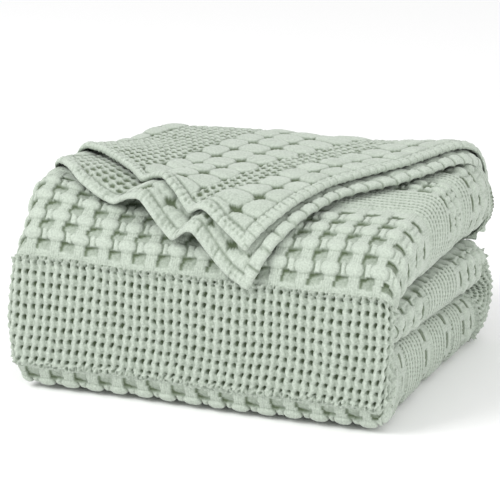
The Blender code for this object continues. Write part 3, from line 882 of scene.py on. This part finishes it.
@dataclass
class ThrownCorner:
    """Both sheets of the corner that lies over the top."""

    weave: Weave
    depth: float = 0.0036   # how deep the pits go
    roll: float = 0.0032    # radius of the turned hem
    hem: float = 0.0105     # width of the turned hem at the right
    left_hem: float = 0.0080    # and at the left
    hem_high: float = 0.0016    # how high its edge stands up
    hem_seed: int = 7
    left_segment: float = 0.0066    # length of the left hems' faint segments
    left_beads: float = 0.35
    dot_pitch: float = 0.0052   # dots of the stitching along a hem
    dot_rows: tuple = (0.29, 0.76)  # and their two rows, as shares of its width
    dot_middle: float = 0.0055      # between the rows
    under: float = 0.0125   # how far the hem's grid goes round and under
    left_cut: float = -0.168    # the sheets' left end, across
    inset_along: tuple = (0.27, 0.22)   # and where each lies in by its inset
    right_cut: float = 0.184    # and their right end
    left_turn: float = 0.014    # how far in from its left end the sheet starts to turn down
    right_turn: float = 0.024   # and from its right end
    sink: float = 0.003     # how far below the cover it ends there
    settle: tuple = (0.020, 0.070)  # the arches end between these distances from its back
    run: float = 0.20       # how far in from an edge its course is felt
    arch: float = 0.085     # how far in from the left hem its arches go
    drift: float = 0.24     # the bands fan out, by this share of the length past
    drift_from: float = 0.04        # this distance from the tip
    drift_run: float = 0.16         # over this length
    drift_in: tuple = (0.035, 0.19)     # and between these distances from the right hem

    @staticmethod
    def curve(edges: tuple, column: int, far: np.ndarray) -> np.ndarray:
        """Give one column of an edge's table as a smooth curve.

        Args:
            edges: the table.
            column: which column.
            far: distances from the tip.

        Returns:
            Its values there.
        """
        half, spread = 20, 3.5      # of the smoothing, in the millimetres of the places
        places = np.arange(-0.05, 0.55, 0.001)
        values = np.interp(places, [e.far for e in edges], [e[column] for e in edges])
        weights = np.exp(-0.5 * (np.arange(-half, half + 1) / spread) ** 2)
        values = np.convolve(np.pad(values, half, mode="edge"), weights / weights.sum(),
                             mode="valid")
        return np.interp(far, places, values)

    def lift(self, sheet: Corner, p: np.ndarray, q: np.ndarray) -> np.ndarray:
        """Give how high the left hem's arches lift the sheet."""
        high = self.curve(LEFT_EDGES[sheet.name], 2, q)
        return high * (1 - step(p, 0.0, self.arch))

    def place(self, sheet: Corner, p: np.ndarray, q: np.ndarray) -> tuple:
        """Turn distances on the cloth into places on the cover.

        Args:
            sheet: which sheet.
            p: distances in from the left hem, along the right one.
            q: distances in from the right hem, along the left one.

        Returns:
            Lengths across and lengths along.
        """
        left = self.curve(LEFT_EDGES[sheet.name], 1, q) * (1 - step(p, 0.0, self.run))
        right = self.curve(RIGHT_EDGES[sheet.name], 1, p) * (1 - step(q, 0.0, self.run))
        return (sheet.tip_x + P_AXIS[0] * (p + left) + Q_AXIS[0] * (q + right),
                sheet.tip_back + P_AXIS[1] * (p + left) + Q_AXIS[1] * (q + right))

    def hem_relief(self, far: np.ndarray, inward: np.ndarray, hem: np.ndarray,
                   beads: np.ndarray, size: np.ndarray) -> tuple:
        """Give height and painted shade on a turned hem.

        Args:
            far: distances along the hem.
            inward: distances in from its edge.
            hem: the hem's width.
            beads: 1 for puffed segments, 0 for rows of dots.
            size: length of a segment.

        Returns:
            Both, of the same shape.
        """
        chance = Chance(self.hem_seed)
        segment = far / size + 0.10 * chance.slow(far, inward, 0.05)
        off = np.abs(segment - np.floor(segment) - 0.5)
        line = step(off, 0.41, 0.48) * step(inward / hem, 1.0, 0.7)
        wave = 0.0007 * chance.slow(far, inward, 0.016)
        dot = far / self.dot_pitch
        row = np.sign(inward - self.dot_middle)
        strength = 0.75 + 0.35 * chance.cell(np.floor(dot), row, 0)
        dot = np.abs(dot - np.floor(dot) - 0.5)
        first, second = self.dot_rows
        rows = np.minimum(np.abs(inward + wave - first * hem),
                          np.abs(inward + wave - second * hem))
        dots = step(np.hypot(dot, rows / self.dot_pitch), 0.36, 0.14) * (1 - beads) * strength
        puff = beads * 0.34 * (1 - (2 * off) ** 2)
        groove = step(np.abs(inward + wave - hem), 0.0022, 0.0)
        height = 0.95 + puff - (0.10 + 0.25 * beads) * line - 0.35 * dots - 0.60 * groove
        rough = chance.slow(far, inward, 0.0045)
        # painted shade in the lines between segments, in the stitching's dots and in the groove
        # along the hem's edge
        shade = 0.60 * line * (0.2 + 0.8 * beads) + 0.70 * dots + 0.50 * groove - 0.04 * rough
        return height + 0.16 * rough, shade

    def build(self, sheet: Corner, cover: Cover) -> bpy.types.Object:
        """Build one sheet.

        Args:
            sheet: which sheet.
            cover: what it lies on.

        Returns:
            The object.
        """
        p_lines = lines_between(-self.under, sheet.right_hem, sheet.cell)
        q_lines = lines_between(-self.under, sheet.left_hem, sheet.cell)
        q, p = np.meshgrid(q_lines, p_lines)
        # past its edge the cloth goes round the roll of the hem and back under itself
        ep, eq = np.maximum(-p, 0), np.maximum(-q, 0)
        e = np.hypot(ep, eq)
        angle = np.minimum(e / self.roll, math.pi)
        out = -self.roll * np.sin(angle) + np.maximum(e - math.pi * self.roll, 0)
        safe = np.maximum(e, 1e-9)
        pe = np.where(e > 0, np.maximum(p, 0) + out * ep / safe, p)
        qe = np.where(e > 0, np.maximum(q, 0) + out * eq / safe, q)
        across, along = self.place(sheet, pe, qe)
        # the upper sheet lies over the lower one's arches
        lower_p, lower_q = self.from_tip(LOWER, across, along)
        lower_p = lower_p - self.curve(LEFT_EDGES["lower"], 1, lower_q)
        lift = self.lift(LOWER, np.maximum(lower_p, 0), lower_q)
        if sheet is UPPER:
            lift = np.maximum(lift, self.lift(UPPER, np.maximum(pe, 0), qe))
        inward = np.minimum(p, q)
        on_right = q < p
        hem = np.where(on_right, self.hem, self.left_hem)
        tube = np.sqrt(np.clip(1 - ((inward / hem) * 2 - 1) ** 2, 0, 1))
        lift = lift + self.hem_high * np.where(inward > 0.5 * hem, tube, 1.0) * (inward < hem)
        lift = lift * step(cover.end - along, *self.settle) + sheet.lift + CLOTH
        # the weave, and the hem's own relief over it, each with its painted shade
        drift = (self.drift * np.clip(p - self.drift_from, 0, self.drift_run)
                 * step(q, *self.drift_in))
        height, painted_shade = self.weave.relief(p, q - drift)
        hem_height, hem_painted_shade = self.hem_relief(
            np.where(on_right, p, q), inward, hem,
            np.where(on_right, sheet.beads, self.left_beads),
            np.where(on_right, sheet.segment, self.left_segment))
        on_hem = step(inward / hem, 1.15, 1.0)
        height = height * (1 - on_hem) + hem_height * on_hem
        painted_shade = painted_shade * (1 - on_hem) + hem_painted_shade * on_hem
        lift = lift + (height - 1.0) * self.depth - self.roll * (1 - np.cos(angle))
        # both ends turn down over the stack's sides
        left_cut = self.left_cut - sheet.inset * step(along, *self.inset_along)
        inside = np.minimum(across - left_cut, self.right_cut - across)
        turn = np.where(across < 0, self.left_turn, self.right_turn)
        bend = 1 - np.clip(inside / turn, 0, 1)
        across = np.clip(across, left_cut, self.right_cut)
        lift = (lift + self.sink) * np.sqrt(1 - bend * bend) - self.sink
        grid = cover.point(across, along, lift)
        obj = grid_object(f"corner_{sheet.name}", grid, np.clip(painted_shade, 0, 1),
                          np.stack([p, q], axis=2))
        keep = ((along < cover.end) & (inside > -1.5 * sheet.cell)
                & ((ep == 0) | (eq == 0) | (e < math.pi * self.roll)))
        self.trim(obj, keep)
        return obj

    @staticmethod
    def from_tip(sheet: Corner, across: np.ndarray, along: np.ndarray) -> tuple:
        """Turn places on the cover into distances from a sheet's tip.

        Args:
            sheet: which sheet.
            across: lengths across.
            along: lengths along.

        Returns:
            Distances along its right hem and along its left hem.
        """
        x, y = across - sheet.tip_x, along - sheet.tip_back
        area = P_AXIS[0] * Q_AXIS[1] - P_AXIS[1] * Q_AXIS[0]
        return ((x * Q_AXIS[1] - y * Q_AXIS[0]) / area,
                (P_AXIS[0] * y - P_AXIS[1] * x) / area)

    @staticmethod
    def trim(obj: bpy.types.Object, keep: np.ndarray) -> None:
        """Remove the faces outside the sheet's outline.

        Args:
            obj: the sheet.
            keep: for each point of its grid, whether it stays.
        """
        bm = bmesh.new()
        bm.from_mesh(obj.data)
        bm.verts.ensure_lookup_table()
        gone = [bm.verts[k] for k in np.flatnonzero(~keep.reshape(-1))]
        bmesh.ops.delete(bm, geom=gone, context="VERTS")
        bm.to_mesh(obj.data)
        bm.free()


# --------------------------------------------------------------------------- finish


@dataclass(frozen=True)
class Cotton:
    """Matt cotton yarn, with shade painted into its green: deepest in the pits."""

    # the colour ramp of painted shade: the green in the light, in half shade and deep in shade
    light: tuple = (0.455, 0.51, 0.44, 1.0)
    middle: tuple = (0.27, 0.315, 0.255, 1.0)
    half_shade_at: float = 0.40         # painted shade where the half-shaded green is reached
    deep_shade_green: tuple = (0.085, 0.115, 0.062, 1.0)
    roughness: float = 0.92
    specular: float = 0.2
    sheen: float = 0.25
    sheen_roughness: float = 0.5
    grain: float = 620.0            # fineness of the yarn's mottle
    grain_detail: float = 4.0
    grain_range: tuple = (0.30, 0.70)   # what of the noise is used
    tones: tuple = (0.84, 1.14)     # and how it darkens and lightens the green
    bump: float = 0.7
    bump_height: float = 0.0008

    def make(self) -> bpy.types.Material:
        """Build the material.

        Returns:
            The material.
        """
        material = bpy.data.materials.new("cotton")
        material.use_nodes = True
        nodes, links = material.node_tree.nodes, material.node_tree.links
        shader = nodes["Principled BSDF"]
        shader.inputs["Roughness"].default_value = self.roughness
        shader.inputs["Specular IOR Level"].default_value = self.specular
        shader.inputs["Sheen Weight"].default_value = self.sheen
        shader.inputs["Sheen Roughness"].default_value = self.sheen_roughness
        painted_shade = nodes.new("ShaderNodeAttribute")
        painted_shade.attribute_name = "painted_shade"
        # the ramp paints shade: it darkens the green as the painted shade attribute grows
        ramp = nodes.new("ShaderNodeValToRGB")
        ramp.color_ramp.elements[0].position = 0.0
        ramp.color_ramp.elements[0].color = self.light
        ramp.color_ramp.elements[1].position = 1.0
        ramp.color_ramp.elements[1].color = self.deep_shade_green
        ramp.color_ramp.elements.new(self.half_shade_at).color = self.middle
        links.new(painted_shade.outputs["Fac"], ramp.inputs["Fac"])
        place = nodes.new("ShaderNodeTexCoord")
        noise = nodes.new("ShaderNodeTexNoise")
        noise.inputs["Scale"].default_value = self.grain
        noise.inputs["Detail"].default_value = self.grain_detail
        links.new(place.outputs["Object"], noise.inputs["Vector"])
        mottle = nodes.new("ShaderNodeMix")
        mottle.data_type = "RGBA"
        mottle.blend_type = "MULTIPLY"
        tone = nodes.new("ShaderNodeMapRange")
        for name, value in zip(("From Min", "From Max", "To Min", "To Max"),
                               self.grain_range + self.tones):
            tone.inputs[name].default_value = value
        links.new(noise.outputs["Fac"], tone.inputs["Value"])
        mottle.inputs["Factor"].default_value = 1.0
        links.new(ramp.outputs["Color"], mottle.inputs["A"])
        links.new(tone.outputs["Result"], mottle.inputs["B"])
        links.new(mottle.outputs["Result"], shader.inputs["Base Color"])
        bump = nodes.new("ShaderNodeBump")
        bump.inputs["Strength"].default_value = self.bump
        bump.inputs["Distance"].default_value = self.bump_height
        links.new(noise.outputs["Fac"], bump.inputs["Height"])
        links.new(bump.outputs["Normal"], shader.inputs["Normal"])
        return material


# --------------------------------------------------------------------------- stage


class Lamp(NamedTuple):
    """A soft square light."""

    name: str
    place: tuple
    size: float
    power: float            # in watts


@dataclass(frozen=True)
class Studio:
    """A pale floor, soft light and the photograph's camera."""

    azimuth: float = 22.5
    elevation: float = 17.2
    distance: float = 2.33
    focal: float = 2400.0       # in pixels of a 500 pixel frame
    middle: tuple = (257.0, 264.0)
    target: tuple = (0.0, 0.0, 0.095)
    frame: float = 500.0
    sensor: float = 36.0
    clip_end: float = 50.0
    floor_size: float = 12.0
    floor_colour: tuple = (0.93, 0.93, 0.93, 1.0)
    floor_roughness: float = 0.9
    floor_specular: float = 0.1
    sky: tuple = (1.0, 1.0, 1.0, 1.0)
    sky_strength: float = 0.9
    lamps: tuple = (Lamp("key", (-1.3, -1.5, 1.9), 1.4, 38.0),
                    Lamp("fill", (1.8, -1.2, 1.2), 1.6, 16.0))
    lamps_aim: tuple = (0.0, 0.0, 0.1)

    def build(self) -> None:
        """Build all of it."""
        self.camera()
        self.floor()
        self.lights()

    def camera(self) -> None:
        """Place the camera."""
        data = bpy.data.cameras.new("camera")
        camera = bpy.data.objects.new("camera", data)
        bpy.context.scene.collection.objects.link(camera)
        az, el = math.radians(self.azimuth), math.radians(self.elevation)
        back = Vector((math.sin(az) * math.cos(el), -math.cos(az) * math.cos(el),
                       math.sin(el)))
        target = Vector(self.target) - Vector(CENTRE)
        camera.matrix_world = (Matrix.Translation(target + back * self.distance)
                               @ back.to_track_quat("Z", "Y").to_matrix().to_4x4())
        data.sensor_width = self.sensor
        data.lens = self.focal / self.frame * self.sensor
        data.shift_x = (self.frame / 2 - self.middle[0]) / self.frame
        data.shift_y = (self.middle[1] - self.frame / 2) / self.frame
        data.clip_end = self.clip_end
        bpy.context.scene.camera = camera

    def floor(self) -> None:
        """Lay the floor."""
        bm = bmesh.new()
        bmesh.ops.create_grid(bm, x_segments=1, y_segments=1, size=self.floor_size)
        mesh = bpy.data.meshes.new("floor")
        bm.to_mesh(mesh)
        bm.free()
        floor = bpy.data.objects.new("floor", mesh)
        bpy.context.scene.collection.objects.link(floor)
        material = bpy.data.materials.new("floor")
        material.use_nodes = True
        shader = material.node_tree.nodes["Principled BSDF"]
        shader.inputs["Base Color"].default_value = self.floor_colour
        shader.inputs["Roughness"].default_value = self.floor_roughness
        shader.inputs["Specular IOR Level"].default_value = self.floor_specular
        mesh.materials.append(material)

    def lights(self) -> None:
        """Hang the soft lights and set the pale surroundings."""
        world = bpy.data.worlds.new("studio")
        bpy.context.scene.world = world
        world.use_nodes = True
        background = world.node_tree.nodes["Background"]
        background.inputs["Color"].default_value = self.sky
        background.inputs["Strength"].default_value = self.sky_strength
        for lamp in self.lamps:
            data = bpy.data.lights.new(lamp.name, "AREA")
            data.size = lamp.size
            data.energy = lamp.power
            light = bpy.data.objects.new(lamp.name, data)
            bpy.context.scene.collection.objects.link(light)
            where = Vector(lamp.place)
            aim = where - Vector(self.lamps_aim)
            light.matrix_world = (Matrix.Translation(where)
                                  @ aim.to_track_quat("Z", "Y").to_matrix().to_4x4())
        bpy.context.scene.view_settings.view_transform = "Standard"


# --------------------------------------------------------------------------- main


STRIP_WEAVE = Weave(open=0.93, bands=(
    Band(-1.0, Kind.LARGE, 0.0240, -0.6670),
    Band(-0.649, Kind.SMALL),
    Band(-0.568, Kind.LARGE, 0.0210, -0.5430),
    Band(-0.450, Kind.FINE),
    Band(-0.325, Kind.LARGE, 0.0230, -0.3000),
    Band(-0.277, Kind.SMALL),
    Band(-0.250, Kind.LARGE, 0.0250, -0.2250),
    Band(-0.225, Kind.SMALL),
    Band(-0.188, Kind.LARGE, 0.0250, -0.1630),
    Band(-0.163, Kind.SMALL),
    Band(-0.114, Kind.LARGE, 0.0250, -0.0890),
    Band(-0.089, Kind.SMALL),
    Band(-0.075, Kind.LARGE, 0.0245, -0.0457, -1.0),
    Band(-0.0237, Kind.FINE, 0.0102),
    Band(0.0783, Kind.LARGE, 0.0245, 0.1013),
    Band(0.205, Kind.SMALL),
    Band(0.258, Kind.LARGE, 0.0140, 0.2580),
    Band(0.300, Kind.SMALL),
    Band(0.322, Kind.LARGE, 0.0210, 0.3220),
    Band(0.372, Kind.SMALL),
))
CORNER_WEAVE = Weave(seed=11, tight=(1.0, 2.0), open=1.32, waver=0.0017, shallow=0.5,
                     loose=False, bands=(
    Band(-1.0, Kind.FINE, 0.0078),
    Band(0.0085, Kind.PILLOW, 0.0262, 0.0205),
    Band(0.0590, Kind.FINE, 0.0078),
    Band(0.0830, Kind.PILLOW, 0.0265, 0.0960),
    Band(0.1620, Kind.FINE, 0.0102),
    Band(0.2500, Kind.PILLOW, 0.0265, 0.2630),
    Band(0.2765, Kind.FINE, 0.0102),
))


def carry(obj: bpy.types.Object, material: bpy.types.Material) -> None:
    """Give a piece its finish and its body, hide the solid it stands for and log its faces.

    Args:
        obj: the piece.
        material: its finish.
    """
    obj.data.materials.append(material)
    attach(obj, "root")
    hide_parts(NODE)
    log.info("%s: %d faces", obj.name, len(obj.data.polygons))


def main() -> None:
    """Build the blanket and its studio in order."""
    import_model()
    cotton = Cotton().make()
    stack = Stack(STRIP_WEAVE)
    skin = Skin(STRIP, FRONT_ROW + len(FRONT_CLOSE))
    for part in PARTS:
        start, end = part.trimmed(skin)
        carry(stack.build(part, skin), cotton)
    cover = Cover()
    corner = ThrownCorner(CORNER_WEAVE)
    for sheet in (LOWER, UPPER):
        carry(corner.build(sheet, cover), cotton)
    Studio().build()


if __name__ == "__main__":
    logging.basicConfig(level=logging.INFO)
    main()
